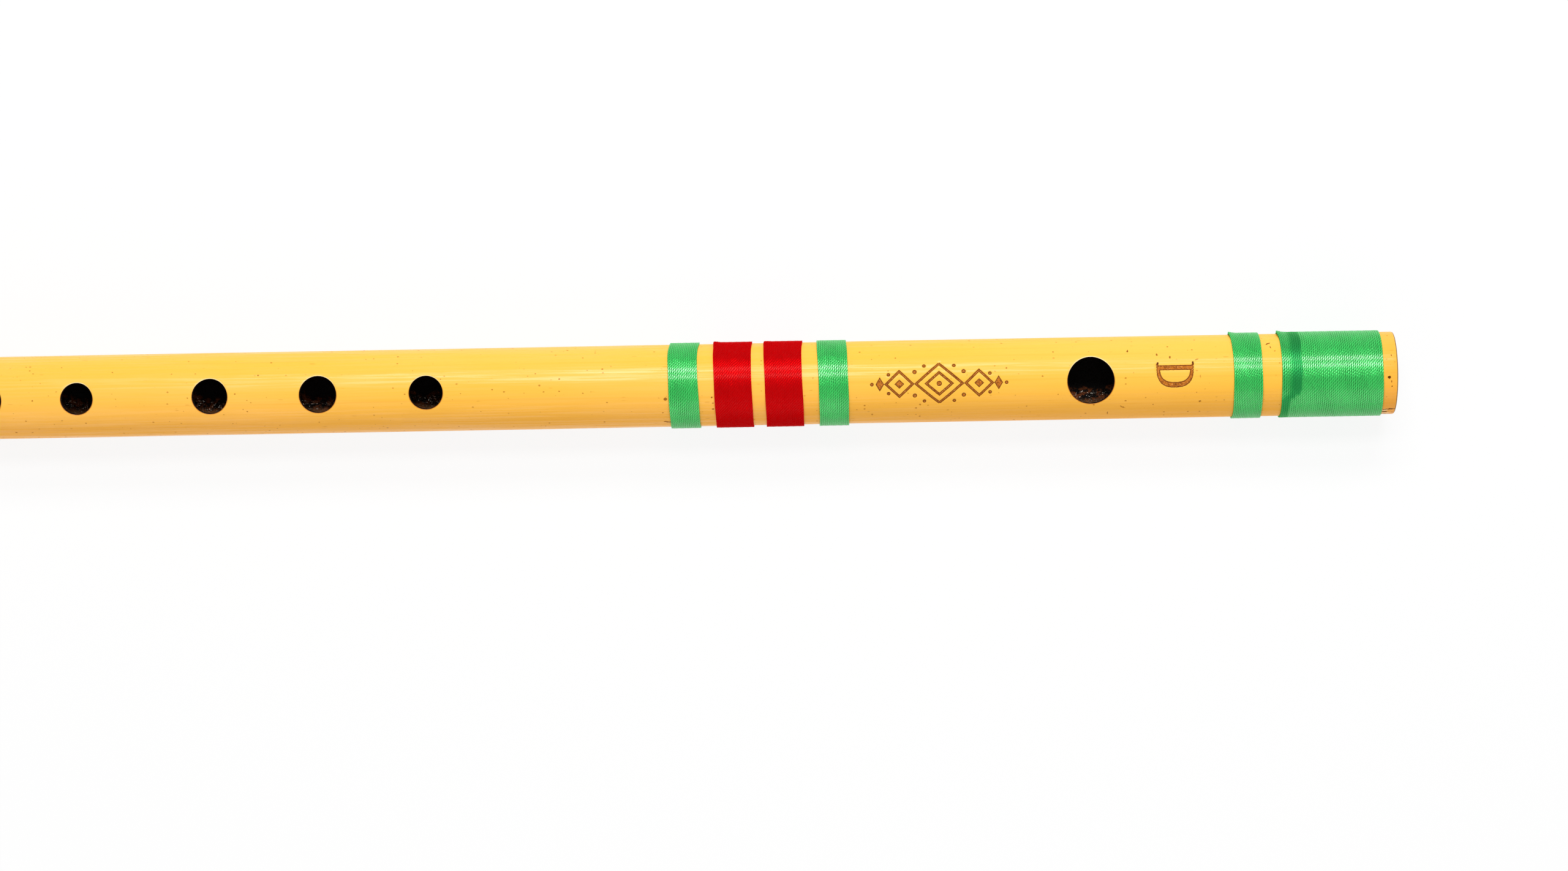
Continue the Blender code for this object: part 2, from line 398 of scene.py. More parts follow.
def hole_points(x, radius, edge, bore_radius, outer_loop, inner_loop, half_length, half_angle):
    """Rows of points from a block's edge on the skin, down through an upright hole, to the bore.

    On the skin and the bore a row lies part of the way from the block's edge to the hole's edge, both
    taken as (x, angle). A quarter circle rounds each edge of the hole, and the wall between is upright.
    """
    start_x = outer_loop[:, 0]
    start_angle = np.arctan2(outer_loop[:, 1], outer_loop[:, 2] - AXIS)
    turn = np.arctan2(start_angle / half_angle, (start_x - x) / half_length)
    cos_turn, sin_turn = np.cos(turn), np.sin(turn)

    def flat_rows(tube_radius, reach, shares):
        edge_x = x + reach * cos_turn
        edge_angle = np.arcsin(reach * sin_turn / tube_radius)
        share = np.asarray(shares)[:, None]
        row_angle = start_angle + (edge_angle - start_angle) * share
        return on_tube(start_x + (edge_x - start_x) * share, row_angle, tube_radius)

    def upright(reach, tube_radius, depth):
        across = reach * sin_turn
        height = AXIS + np.sqrt(tube_radius**2 - across**2) - depth
        return np.stack([x + reach * cos_turn, across, height], axis=-1)

    bend = np.linspace(0, math.pi / 2, 5)[1:]
    rounded = list(zip(radius + edge * (1 - np.sin(bend)), edge * (1 - np.cos(bend))))
    top = [upright(reach, TUBE_RADIUS, depth) for reach, depth in rounded]
    low = [upright(reach, bore_radius, -depth) for reach, depth in rounded[::-1]]
    wall = [top[-1] + (low[0] - top[-1]) * share for share in (0.2, 0.4, 0.6, 0.8)]
    shares = (0.25, 0.48, 0.68, 0.84, 0.94, 1.0)
    skin = flat_rows(TUBE_RADIUS, radius + edge, shares)
    bore = flat_rows(bore_radius, radius + edge, shares[::-1])
    rows = np.concatenate([outer_loop[None], skin, top, wall, low, bore, inner_loop[None]])
    kinds = np.full(len(rows) - 1, SCORCHED)
    kinds[: len(shares) + 2] = SKIN
    kinds[-len(shares) - 1 :] = BORE
    return rows, kinds


def mark_patch(index, rows, columns, first_number, x_lines, angles):
    """Replaces the inside of a block by a finer grid, MARK_SPLIT times as close.

    Returns the fine grid's (x, angle) pairs, its quads, and the many-cornered faces that join its edge to
    the coarse ring of cells round it, one for each coarse cell.
    """
    low_row, high_row = rows[0] + 1, rows[-1] - 1
    low_column, high_column = columns[0] + 1, columns[-1] - 1
    along = np.linspace(x_lines[low_row], x_lines[high_row], (high_row - low_row) * MARK_SPLIT + 1)
    around = np.linspace(angles[low_column], angles[high_column], (high_column - low_column) * MARK_SPLIT + 1)
    fine = numbered((len(along), len(around)), first_number)
    coarse_rows = np.arange(low_row, high_row + 1)
    coarse_columns = np.arange(low_column, high_column + 1) % SIDES
    fine[::MARK_SPLIT, 0] = index[coarse_rows, coarse_columns[0]]
    fine[::MARK_SPLIT, -1] = index[coarse_rows, coarse_columns[-1]]
    fine[0, ::MARK_SPLIT] = index[coarse_rows[0], coarse_columns]
    fine[-1, ::MARK_SPLIT] = index[coarse_rows[-1], coarse_columns]

    def joined(fine_edge, coarse_edge, reverse):
        """Cells between an edge of the fine grid and the coarse line beside it."""
        cells = len(coarse_edge) - 1
        pick = np.arange(cells)[:, None] * MARK_SPLIT + np.arange(MARK_SPLIT + 1)
        far = np.stack([coarse_edge[1:], coarse_edge[:-1]], axis=-1)
        faces = np.concatenate([fine_edge[pick], far], axis=1)
        return faces[:, ::-1] if reverse else faces

    outer_columns = (low_column - 1) % SIDES, (high_column + 1) % SIDES
    seams = [
        joined(fine[:, -1], index[coarse_rows, outer_columns[1]], False),
        joined(fine[:, 0], index[coarse_rows, outer_columns[0]], True),
        joined(fine[0], index[low_row - 1, coarse_columns], False),
        joined(fine[-1], index[high_row + 1, coarse_columns], True),
    ]
    return *np.meshgrid(along, around, indexing="ij"), fine, np.concatenate(seams)


def waviness(points, amount):
    """Moves the bamboo's outside in and out by a sum of three slow waves in x and angle."""
    x = points[:, 0] / MM
    angle = np.arctan2(points[:, 1], points[:, 2] - AXIS)
    wave = np.sin(x / 31 + angle) + 0.6 * np.sin(x / 17 - 2 * angle + 1) + 0.4 * np.sin(x / 9 + 3 * angle + 2)
    factor = 1 - amount * (1.2 + wave / 2) / TUBE_RADIUS
    return np.stack([points[:, 0], points[:, 1] * factor, AXIS + (points[:, 2] - AXIS) * factor], axis=-1)


def hole_distance(points, hole_list):
    """Distance in mm to the nearest hole's edge, seen from above: sqrt(dx^2 + dy^2) - radius.

    Below the axis it is squeezed along X, measured from further towards +Y, and made a little longer, on the
    bore's floor and on the skin under it alike.
    """
    below = points[:, 2] < AXIS
    shift, squeeze = np.where(below, BELOW_SHIFT, 0), np.where(below, BELOW_SQUEEZE, 1)
    reach = [np.hypot((points[:, 0] - x) * squeeze, points[:, 1] - shift) - radius for x, radius in hole_list]
    return np.clip((np.minimum.reduce(reach) + np.where(below, BELOW_GAP, 0)) / MM, -FAR, FAR)


def tube_rows(sizes, bore_radius, hole_blocks, mark_blocks):
    """The tube's outline as rows of (x, radius, slot): the skin, the head's rim, the bore and the foot's rim.

    The places of the skin's rows and of the bore's come with them.
    """
    ends = TUBE_LOW.x + sizes.rim, TUBE_HIGH.x - sizes.rim
    skin_x = lines_between(*ends, hole_blocks + mark_blocks, SKIN_STEP)
    bore_x = lines_between(*ends, hole_blocks, BORE_STEP)[::-1]
    skin_r, bore_r = np.full(len(skin_x), TUBE_RADIUS), np.full(len(bore_x), bore_radius)
    head_x, head_r = rim_rows(TUBE_HIGH.x, 1, TUBE_RADIUS, bore_radius, sizes.rim)
    foot_x, foot_r = rim_rows(TUBE_LOW.x, -1, TUBE_RADIUS, bore_radius, sizes.rim)
    row_x = np.concatenate([skin_x, head_x, bore_x, foot_x[::-1]])
    row_r = np.concatenate([skin_r, head_r, bore_r, foot_r[::-1]])
    kinds = np.repeat([SKIN, RIM, BORE, RIM], [len(skin_x), len(head_x), len(bore_x), len(foot_x)])
    kinds[-1] = SKIN
    return row_x, row_r, kinds, skin_x, bore_x


def build_tube(sizes, materials):
    """The bored bamboo: one closed skin with rounded ends, seven burnt holes and two burnt marks.

    A lattice of rings, carried over both ends and back through the bore, closes on itself. Each hole
    takes a block out of the skin and of the bore and joins the two. Each mark takes a block out of the
    skin, and fills it with a finer grid that is pressed in where the mark's distance is negative.
    """
    bore_radius = TUBE_RADIUS - sizes.wall
    hole_list = holes(sizes)
    blow_hole = hole_list[0][0]
    hole_blocks = [(x - r - HOLE_MARGIN, x + r + HOLE_MARGIN, HOLE_STEP) for x, r in hole_list]
    mark_blocks = [
        (blow_hole + along - half_length, blow_hole + along + half_length, MARK_STEP)
        for _, along, _, half_length, _ in MARKS
    ]
    row_x, row_r, kinds, skin_x, bore_x = tube_rows(sizes, bore_radius, hole_blocks, mark_blocks)
    first_bore = np.argmax(kinds == BORE)

    side_angle = 2 * math.pi / SIDES
    angles = np.arange(SIDES) * side_angle
    index = numbered((len(row_x), SIDES))
    points = [on_tube(row_x[:, None], angles, row_r[:, None]).reshape(-1, 3)]
    distance = [np.full(index.size, FAR)]
    lattice = quads(index, True, True)
    kept = np.ones(index.shape, bool)
    four, four_kinds, many = [], [], []

    def block_rows(lines, block, offset=0):
        slack = MM / 100
        return np.flatnonzero((lines > block[0] - slack) & (lines < block[1] + slack)) + offset

    half_angle = HOLE_SPAN * side_angle
    columns = np.arange(-HOLE_SPAN, HOLE_SPAN + 1)
    for (x, radius), block in zip(hole_list, hole_blocks):
        skin_rows = block_rows(skin_x, block)
        bore_rows = block_rows(bore_x, block, first_bore)
        kept[np.ix_(skin_rows[:-1], columns[:-1] % SIDES)] = False
        kept[np.ix_(bore_rows[:-1], columns[:-1] % SIDES)] = False
        outer = loop_round(index, skin_rows, columns)
        inner = loop_round(index, bore_rows[::-1], columns)
        rows, row_kinds = hole_points(
            x, radius, sizes.hole_edge, bore_radius, points[0][outer], points[0][inner],
            radius + HOLE_MARGIN, half_angle,
        )
        first = sum(len(part) for part in points)
        numbers = numbered(rows.shape[:2], first)
        numbers[0], numbers[-1] = outer, inner
        points.append(rows.reshape(-1, 3))
        distance.append(np.full(numbers.size, FAR))
        four.append(quads(numbers, False, True)[:, ::-1])
        four_kinds.append(np.repeat(row_kinds, rows.shape[1]))

    line_angles = {column: column * side_angle for column in range(-SIDES, SIDES)}
    for (shape, along, across, _, (low, high)), block in zip(MARKS, mark_blocks):
        rows = block_rows(skin_x, block)
        kept[np.ix_(rows[:-1], np.arange(low, high) % SIDES)] = False
        kept[rows[0], [low % SIDES, (high - 1) % SIDES]] = True
        kept[rows[-2], [low % SIDES, (high - 1) % SIDES]] = True
        first = sum(len(part) for part in points)
        x, angle, fine, seams = mark_patch(index, rows, (low, high), first, skin_x, line_angles)
        away = shape((x - blow_hole - along) / MM, (angle * TUBE_RADIUS - across) / MM)
        pressed = eased(0.5 - away / 0.3)
        points.append(on_tube(x, angle, TUBE_RADIUS - sizes.burn_depth * pressed).reshape(-1, 3))
        distance.append(away.ravel())
        four.append(quads(fine))
        four_kinds.append(np.full(len(four[-1]), SKIN))
        many.append(seams)

    points = np.concatenate(points)
    four.insert(0, lattice[kept.ravel()])
    four_kinds.insert(0, np.repeat(kinds[:, None], SIDES, axis=1)[kept])
    many = np.concatenate(many)
    return make_piece(
        "bamboo_bored_tube",
        waviness(points, sizes.waviness),
        [np.concatenate(four), many],
        materials,
        slots=np.concatenate([*four_kinds, np.full(len(many), SKIN)]),
        values={"from_mark": np.concatenate(distance), "from_hole": hole_distance(points, hole_list)},
    )


# Each winding: its node, its colour and its turns, then in mm how far it leans and how far it bends along X
# at its +Y side, then where, in degrees round the tube, and how far, in mm, it swells over its hidden tail
WINDINGS = [
    ("head_end_binding", "green", 50, 0.0, 0.0, (80, 0.5)),
    ("head_ring_binding", "green", 17, 0.1, 0.0, (82, 0.4)),
    ("middle_green_binding_head_side", "green", 16, 0.25, 0.0, (0, 0.0)),
    ("middle_red_binding_head_side", "red", 20, 0.3, 0.45, (76, 0.3)),
    ("middle_red_binding_foot_side", "red", 21, 0.4, 0.5, (80, 0.34)),
    ("middle_green_binding_foot_side", "green", 16, 0.45, 0.7, (0, 0.0)),
    ("foot_ring_binding", "green", 17, 0.1, 0.0, (95, 0.25)),
    ("foot_end_binding", "green", 50, 0.0, 0.0, (100, 0.3)),
]
GLUED_NODE = "head_end_binding"

# Each thread's look: lustre is how metallic its shine is, bend its refractive index, the valley and groove
# values how dark the shade painted between turns and between plies is, change how far its colour varies,
# relief the depth of its plies, shine the weight of its clear coat, and press its half width as a share of
# the pitch
LOOKS = {
    "green": {
        "lustre": 0.14, "bend": 1.4, "valley": 0.95, "groove": 0.45, "change": 0.12, "relief": 0.055 * MM,
        "shine": 0.2, "press": 0.53,
    },
    "red": {
        "lustre": 0.3, "bend": 1.0, "valley": 0.06, "groove": 0.08, "change": 0.05, "relief": 0.055 * MM,
        "shine": 0.015, "press": 0.58,
    },
}

# How finely the thread is divided, how square its section is, and how it lies: how many turns each end takes
# to dip, how many degrees the swelling over the tail reaches to each side, over how many turns it sinks and
# stops pushing them aside, and how far the turns stray and sink in slow waves
TURN_STEPS = 64
THREAD_SIDES = 16
SQUARENESS = 6.0
END_DIP = 0.3
TAIL_REACH = 12
TAIL_SINKS = 2.5
TAIL_PUSHES = 7
SLOW_STRAY = 0.05 * MM
QUICK_STRAY = 0.03 * MM
SINKING = 0.012 * MM

# How many sides the cork has, the rounding of its ends, and how far it stays inside its node
CORK_SIDES = 128
CORK_ROUNDING = 0.6 * MM
CORK_GAP = 0.02 * MM


def wet_patch(x, low, angle):
    """How wet with glue the head's winding is: a patch at its low end, narrower round the -Y side.

    Its edge follows a step eased by the angle, with a small ripple, and is blurred. It is wettest beside
    its edge, and a third as wet towards the end of the winding.
    """
    degrees = np.degrees(np.arctan2(np.sin(angle), np.cos(angle)))
    narrow, widening, ripple, blur = 1.9, 2.9, 0.12, 0.35
    wettest, fading, least = 2.0, 1.2, 0.35
    edge = narrow + widening * eased((degrees + 36) / 18) + ripple * np.sin(degrees / 7)
    inward = edge - (x - low) / MM
    inside = np.clip(inward / blur + 0.5, 0, 1)
    fresh = np.clip(1 - (inward - wettest) / fading, 0, 1)
    return inside * (least + (1 - least) * fresh)


def wound_path(plan, number, low, pitch, half_thickness):
    """The thread's middle line: x = low + pitch * turn, at an angle that falls by a circle a turn.

    It starts and ends underneath the flute. The turns lean, bend and stray together in slow waves, the first
    ones ride over the hidden tail, and both ends dip.
    """
    _, _, turns, lean, crook, (tail_place, tail_height) = plan
    turn = np.linspace(0, turns, turns * TURN_STEPS + 1)
    angle = math.pi - 2 * math.pi * turn
    x = low + pitch * turn + SLOW_STRAY * np.sin(2 * angle + turn * 0.35 + number)
    x = x + QUICK_STRAY * np.sin(5 * angle + turn * 0.2)
    x = x - lean / 2 * MM * np.sin(angle) + crook * MM * np.clip(np.sin(angle), 0, 1) ** 9
    centre = AXIS - half_thickness - SINKING * (1 + np.sin(3 * angle + turn * 1.7 + number))
    away = np.degrees(np.angle(np.exp(1j * (angle - math.radians(tail_place)))))
    bulge = tail_height * MM * np.exp(-((away / TAIL_REACH) ** 2))
    centre = centre + bulge * np.exp(-((turn / TAIL_SINKS) ** 2))
    x = x - 0.9 * bulge * np.exp(-((turn / TAIL_PUSHES) ** 2))
    dip = np.clip(1 - np.minimum(turn, turns - turn) / END_DIP, 0, 1)
    return turn, angle, x, centre - half_thickness * 0.9 * dip**2


def thread_uv(length):
    """The UV of each face's corners: metres along the thread, and the share of the way round it.

    The faces between the rows come first, and the two caps last.
    """
    around = np.arange(THREAD_SIDES + 1) / THREAD_SIDES
    corner = np.stack(np.meshgrid(length, around, indexing="ij"), axis=-1)
    sides = np.stack([corner[:-1, 1:], corner[1:, 1:], corner[1:, :-1], corner[:-1, :-1]], axis=2)
    return np.concatenate([sides.reshape(-1, 2), corner[0, :-1][::-1], corner[-1, :-1]])


def build_winding(plan, number, sizes, material):
    """One unbroken thread, wound right-handed. Its section is |a|^n + |b|^n = 1, a flattened circle.

    It is a little wider than the pitch, so that neighbours press together.
    """
    node, colour, turns = plan[:3]
    low_corner, high_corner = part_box(node)
    low, pitch = low_corner.x, (high_corner.x - low_corner.x) / turns
    half_width = pitch * LOOKS[colour]["press"]
    half_thickness = sizes.thread_thickness / 2
    turn, angle, x, centre = wound_path(plan, number, low, pitch, half_thickness)
    section = np.arange(THREAD_SIDES) * 2 * math.pi / THREAD_SIDES
    across, over = np.sin(section), np.cos(section)
    proud = -half_thickness * np.sign(over) * (1 - np.abs(across) ** SQUARENESS) ** (1 / SQUARENESS)
    place = x[:, None] + half_width * across
    points = on_tube(place, angle[:, None], centre[:, None] + proud)
    index = numbered(place.shape)
    faces = [quads(index, False, True)[:, ::-1], np.stack([index[0][::-1], index[-1]])]
    wet = wet_patch(place, low, angle[:, None]) if node == GLUED_NODE else np.zeros(place.shape)
    return make_piece(
        node.replace("binding", "winding"),
        points.reshape(-1, 3),
        faces,
        [material],
        values={"wet": wet.ravel()},
        uv=thread_uv(turn * math.hypot(2 * math.pi * AXIS, pitch)),
    )


def build_cork(sizes, material):
    """A turned cork plug: (x, radius) rows with rounded ends, pitted by a product of waves."""
    low_corner, high_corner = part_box("cork_stopper")
    low, high = low_corner.x, high_corner.x
    radius = high_corner.z - AXIS - CORK_GAP
    turn = np.linspace(0, math.pi / 2, 6)
    body = np.linspace(low + CORK_ROUNDING, high - CORK_ROUNDING, 40)[1:-1]
    face_r = np.linspace(0.06, 0.96, 16) * (radius - CORK_ROUNDING)
    end_x = low + CORK_ROUNDING * (1 - np.sin(turn[::-1]))
    end_r = radius - CORK_ROUNDING * (1 - np.cos(turn[::-1]))
    low_face, high_face = np.full(len(face_r), low), np.full(len(face_r), high)
    row_x = np.concatenate([low_face, end_x, body, low + high - end_x[::-1], high_face])
    row_r = np.concatenate([face_r, end_r, np.full(len(body), radius), end_r[::-1], face_r[::-1]])
    angle = np.arange(CORK_SIDES) * 2 * math.pi / CORK_SIDES
    x = np.repeat(row_x[:, None], CORK_SIDES, axis=1)
    r = np.repeat(row_r[:, None], CORK_SIDES, axis=1)
    across, up = r * np.sin(angle) / MM, r * np.cos(angle) / MM
    grain = np.sin(x / MM * 2.9 + np.sin(across * 1.7)) * np.sin(across * 2.3 + 1) * np.sin(up * 2.6 + 2)
    pit = np.clip((np.abs(grain) - 0.45) / 0.4, 0, 1) * sizes.cork_pits
    on_side = r >= radius - CORK_ROUNDING / 2
    x = x - np.sign(x - (low + high) / 2) * pit * ~on_side
    r = r - pit * on_side
    index = numbered(x.shape)
    faces = [quads(index, False, True), np.stack([index[0], index[-1][::-1]])]
    return make_piece("cork_plug", on_tube(x, angle, r).reshape(-1, 3), faces, [material])


def fill(tree, node, inputs):
    """Sets a node's inputs. Each is a value, or another node's output to join to it."""
    for key, value in inputs.items():
        if isinstance(value, bpy.types.NodeSocket):
            tree.links.new(value, node.inputs[key])
        else:
            node.inputs[key].default_value = value


def add(tree, kind, inputs=None, **settings):
    """Adds a shader node with its settings and its inputs."""
    node = tree.nodes.new("ShaderNode" + kind)
    for key, value in settings.items():
        setattr(node, key, value)
    fill(tree, node, inputs or {})
    return node


def math_node(tree, operation, *values):
    """One step of arithmetic on numbers or sockets."""
    return add(tree, "Math", dict(enumerate(values)), operation=operation).outputs[0]


def total(tree, first, second):
    """One value plus another."""
    return math_node(tree, "ADD", first, second)


def larger(tree, first, second):
    """The larger of two values."""
    return math_node(tree, "MAXIMUM", first, second)


def product(tree, first, *others):
    """The first value times each of the others."""
    for value in others:
        first = math_node(tree, "MULTIPLY", first, value)
    return first


def centred(tree, value, width):
    """A value from 0 to 1, brought to a range of this width with 0 in its middle."""
    return product(tree, math_node(tree, "SUBTRACT", value, 0.5), width)


def vector_node(tree, operation, *values):
    """One step of arithmetic on vectors."""
    return add(tree, "VectorMath", dict(enumerate(values)), operation=operation).outputs[0]


def mix_colours(tree, share, first, second, blend="MIX"):
    """The first colour where share is 0 and the second where it is 1, or the first blended with it."""
    inputs = {0: share, 6: first, 7: second}
    return add(tree, "Mix", inputs, data_type="RGBA", blend_type=blend).outputs[2]


def smooth(tree, value, low, high, to_low=0.0, to_high=1.0):
    """A smooth step from to_low, at low, to to_high, at high."""
    inputs = {"Value": value, "From Min": low, "From Max": high, "To Min": to_low, "To Max": to_high}
    return add(tree, "MapRange", inputs, interpolation_type="SMOOTHSTEP").outputs["Result"]


def noise(tree, place, scale, detail=2.0, roughness=0.5):
    """Cloudy noise from 0 to 1 at `place`."""
    inputs = {"Vector": place, "Scale": scale, "Detail": detail, "Roughness": roughness}
    return add(tree, "TexNoise", inputs).outputs["Fac"]


def attribute(tree, name):
    """The value of the piece's own attribute."""
    return add(tree, "Attribute", attribute_name=name).outputs["Fac"]


def object_place(tree):
    """The place on the piece, in metres."""
    return add(tree, "TexCoord").outputs["Object"]


def stretched_place(tree, along, across):
    """Object coordinates, scaled by `along` on X and by `across` on Y and Z."""
    scale = add(tree, "CombineXYZ", {"X": along, "Y": across, "Z": across}).outputs[0]
    return vector_node(tree, "MULTIPLY", object_place(tree), scale)


def streaks(tree, along, across, detail=2.0, roughness=0.5):
    """Noise with different scales along X and across it, in cells a metre."""
    return noise(tree, stretched_place(tree, along, across), 1.0, detail, roughness)


def separated(tree, vector):
    """A vector's X, Y and Z."""
    return add(tree, "SeparateXYZ", {"Vector": vector}).outputs


def bump(tree, height, depth, normal=None):
    """A normal from a height, in which 1 stands for `depth`, laid over another normal."""
    inputs = {"Height": height, "Distance": depth, "Strength": 1.0}
    if normal is not None:
        inputs["Normal"] = normal
    return add(tree, "Bump", inputs).outputs["Normal"]


def rgba(colour, factors=1.0):
    """A colour with an alpha of 1, times one factor, or one for each channel, and never brighter than 1."""
    return (*np.minimum(np.array(colour) * factors, 1.0), 1.0)


def new_group(name, inputs, outputs):
    """A shader node group with named sockets, what it is given, and the node for what it puts out."""
    group = bpy.data.node_groups.new(name, "ShaderNodeTree")
    for key, default in inputs.items():
        group.interface.new_socket(key, in_out="INPUT", socket_type="NodeSocketFloat").default_value = default
    for key in outputs:
        group.interface.new_socket(key, in_out="OUTPUT", socket_type="NodeSocketFloat")
    return group, group.nodes.new("NodeGroupInput").outputs, group.nodes.new("NodeGroupOutput")


def use_group(tree, name, **inputs):
    """Places a node group in a material with its own values."""
    node = tree.nodes.new("ShaderNodeGroup")
    node.node_tree = bpy.data.node_groups[name]
    fill(tree, node, {key.capitalize(): value for key, value in inputs.items()})
    return node.outputs


def fibre_group():
    """Long fibres: noise drawn out along X, at two widths."""
    group, given, made = new_group("fibre", {"Along": 10.0, "Across": 2000.0}, ["Shade", "Height"])
    place = stretched_place(group, given["Along"], given["Across"])
    wide = noise(group, place, 0.35, 3.0, 0.6)
    fine = noise(group, place, 1.6)
    shade = total(group, product(group, wide, 0.6), product(group, fine, 0.4))
    fill(group, made, {"Shade": shade, "Height": fine})


def speck_group():
    """Scattered flecks: one in some of the cells of a stretched lattice, each of its own size and depth."""
    inputs = {"Along": 300.0, "Across": 900.0, "Amount": 0.3, "Size": 0.3}
    group, given, made = new_group("speck", inputs, ["Mask"])
    place = stretched_place(group, given["Along"], given["Across"])
    wobble = add(group, "TexNoise", {"Vector": place, "Scale": 2.5, "Detail": 2.0}).outputs["Color"]
    place = vector_node(group, "ADD", place, vector_node(group, "MULTIPLY", wobble, (0.35, 0.35, 0.35)))
    cell = add(group, "TexVoronoi", {"Vector": place, "Scale": 1.0}, feature="F1").outputs
    chance = add(group, "SeparateColor", {"Color": cell["Color"]}).outputs
    reach = product(group, chance["Green"], given["Size"])
    inside = smooth(group, math_node(group, "SUBTRACT", reach, cell["Distance"]), -0.02, 0.08)
    present = math_node(group, "LESS_THAN", chance["Red"], given["Amount"])
    depth = smooth(group, chance["Blue"], 0.0, 1.0, 0.3, 1.0)
    fill(group, made, {"Mask": product(group, inside, present, depth)})


def ply_group():
    """Two twisted plies: the height is |cos| of the angle round the thread less the twist along it.

    The twist runs a little ahead or behind from place to place. Groove is 1 between the plies, and Valley
    between the turns.
    """
    inputs = {"Length": 1.6 * MM, "Filaments": 0.15}
    group, given, made = new_group("ply", inputs, ["Height", "Groove", "Valley"])
    thread = separated(group, add(group, "UVMap", uv_map="thread").outputs["UV"])
    slack = streaks(group, 330.0, 170.0)
    twist = math_node(group, "DIVIDE", thread["X"], given["Length"])
    twist = total(group, twist, product(group, slack, 0.9))
    phase = product(group, math_node(group, "SUBTRACT", thread["Y"], twist), 2 * math.pi)

    def ridges(value):
        return math_node(group, "ABSOLUTE", math_node(group, "COSINE", value))

    ply = ridges(phase)
    filaments = product(group, ridges(product(group, phase, 7.0)), given["Filaments"])
    from_crown = math_node(group, "ABSOLUTE", math_node(group, "SUBTRACT", thread["Y"], 0.5))
    pinched = product(group, math_node(group, "SUBTRACT", 1.0, ply), 0.06)
    fill(group, made, {
        "Height": total(group, ply, filaments),
        "Groove": smooth(group, ply, 0.55, 0.05),
        "Valley": smooth(group, total(group, from_crown, pinched), 0.14, 0.22),
    })


def spot_and_highlight_group():
    """One spot on the upper side, which may be a painted highlight: an ellipse round (X, Y), turned by Lean,
    with a frayed edge.
    """
    inputs = {"X": 0.0, "Y": 0.0, "Length": 0.5, "Width": 0.3, "Lean": 0.0}
    group, given, made = new_group("blemish", inputs, ["Mask"])
    place = object_place(group)
    fray = add(group, "TexNoise", {"Vector": place, "Scale": 2200.0, "Detail": 2.0}).outputs["Color"]
    fray = vector_node(group, "MULTIPLY", vector_node(group, "SUBTRACT", fray, (0.5,) * 3), (0.5 * MM,) * 3)
    middle = add(group, "CombineXYZ", {"X": given["X"], "Y": given["Y"]}).outputs[0]
    away = vector_node(group, "SUBTRACT", vector_node(group, "ADD", place, fray), middle)
    turned = add(group, "VectorRotate", {"Vector": away, "Angle": given["Lean"]}, rotation_type="Z_AXIS")
    parts = separated(group, turned.outputs[0])
    along = math_node(group, "DIVIDE", parts["X"], given["Length"])
    across = math_node(group, "DIVIDE", parts["Y"], given["Width"])
    squares = total(group, math_node(group, "POWER", along, 2.0), math_node(group, "POWER", across, 2.0))
    inside = smooth(group, math_node(group, "SQRT", squares), 0.6, 0.38)
    above = math_node(group, "GREATER_THAN", separated(group, place)["Z"], AXIS)
    fill(group, made, {"Mask": product(group, inside, above)})


def scorch_group():
    """Scorching by the holes, from the distance to the nearest one: a char line and a tanned ring."""
    group, given, made = new_group("scorch", {"Char": 0.12, "Tan": 0.4}, ["Char", "Tan"])
    wobble = centred(group, noise(group, object_place(group), 900.0, 3.0), 0.12)
    away = total(group, attribute(group, "from_hole"), wobble)
    for key in ("Char", "Tan"):
        edge = math_node(group, "DIVIDE", away, given[key])
        fill(group, made, {key: smooth(group, edge, 1.0, 0.4)})


def new_material(name):
    """A material with a Principled shader, its node tree and the shader."""
    material = bpy.data.materials.new(name)
    material.use_nodes = True
    return material, material.node_tree, material.node_tree.nodes["Principled BSDF"]


def spots_and_painted_light(tree, colour, blow_hole):
    """A colour with the bamboo's flecks and spots laid over it, and a mask of them, painted highlights
    included.

    It also paints shade on the -Y side, away from the main lamps, and tints the skin towards the head end.
    """
    spot_and_highlight_mask = 0.0
    for values, strength in FLECKS:
        flecks = use_group(tree, "speck", **values)
        colour = mix_colours(tree, product(tree, flecks["Mask"], strength), colour, rgba(FLECK_BROWN))
        spot_and_highlight_mask = larger(tree, spot_and_highlight_mask, flecks["Mask"])
    parts = separated(tree, object_place(tree))
    # Painted shade: darker and more orange towards -Y, the side away from the main lamps
    side = smooth(tree, parts["Y"], 1 * MM, -9 * MM)
    colour = mix_colours(tree, side, colour, rgba(SHADED_SIDE_TINT), "MULTIPLY")
    # Darker and more orange over the last few mm of the skin towards the head end
    near_head_end = smooth(tree, parts["X"], TUBE_HIGH.x - 6.5 * MM, TUBE_HIGH.x - 1 * MM, 0.0, 0.6)
    colour = mix_colours(tree, near_head_end, colour, rgba(HEAD_END_TINT), "MULTIPLY")
    for x, y, length, width, lean, darkness in SPOTS_AND_HIGHLIGHTS:
        spot = use_group(tree, "blemish", length=length * MM, width=width * MM, lean=math.radians(-lean),
                         x=blow_hole + x * MM, y=y * MM)
        # A negative darkness paints a highlight in pale colour
        tone = rgba(SPOT_BROWN, 1.12 - darkness) if darkness > 0 else rgba(CHIP_HIGHLIGHT)
        share = product(tree, spot["Mask"], min(1, abs(darkness) + 0.25))
        colour = mix_colours(tree, share, colour, tone)
        spot_and_highlight_mask = larger(tree, spot_and_highlight_mask, spot["Mask"])
    return colour, spot_and_highlight_mask


def burnt(tree, colours, mark, mottle):
    """The floor of a burnt mark: mottled brown with pale streaks, and dark towards its outline."""
    colour = mix_colours(tree, smooth(tree, mottle, 0.3, 0.58), rgba(colours.burn_edge), rgba(colours.burn))
    streaked = smooth(tree, streaks(tree, 2200.0, 4200.0), 0.55, 0.68, 0.0, 0.7)
    colour = mix_colours(tree, streaked, colour, rgba(BURN_STREAK))
    return mix_colours(tree, smooth(tree, mark, -0.08, -0.26), rgba(colours.burn_edge), colour)


